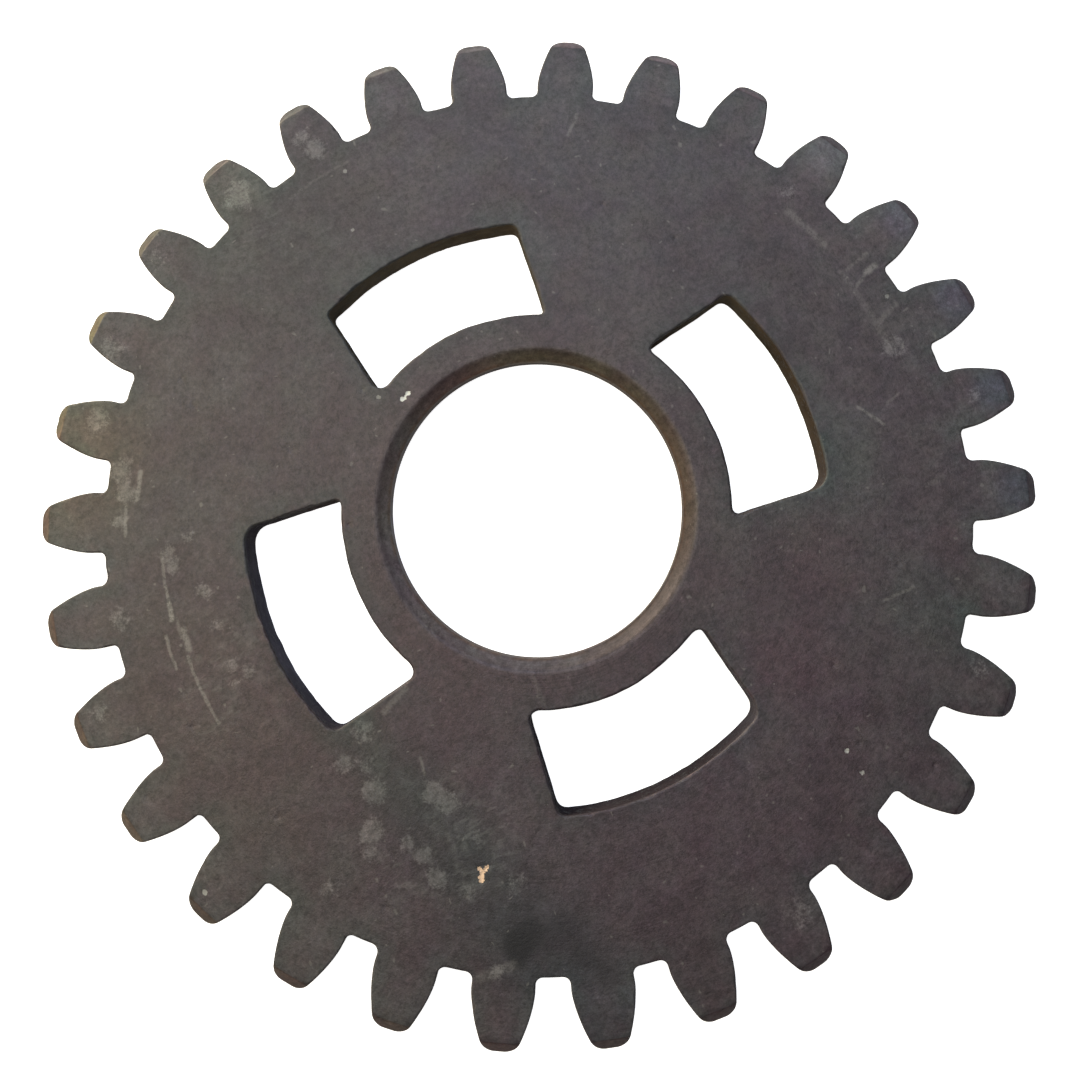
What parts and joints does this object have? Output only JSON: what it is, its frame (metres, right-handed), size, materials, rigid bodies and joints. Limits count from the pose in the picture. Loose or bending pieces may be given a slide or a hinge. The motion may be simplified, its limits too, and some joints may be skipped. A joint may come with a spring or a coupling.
{
  "type": "spur gear",
  "caption": "Thin steel plate spur gear with full-depth involute teeth, a plain chamfered bore and arc-shaped windows around its hub ring.",
  "frame": {"origin": "on the bore axis, at the back face", "axes": "+Z along the bore axis from the back face to the front face; a tooth and a window are centred on +X"},
  "size_m": [0.127, 0.1266, 0.0055],
  "materials": {
    "blackened_steel": "blackened, matte to satin, with fine grain, stains and light scratches"
  },
  "bodies": {
    "root": {"spur_gear": "blackened_steel"}
  },
  "joints": []
}
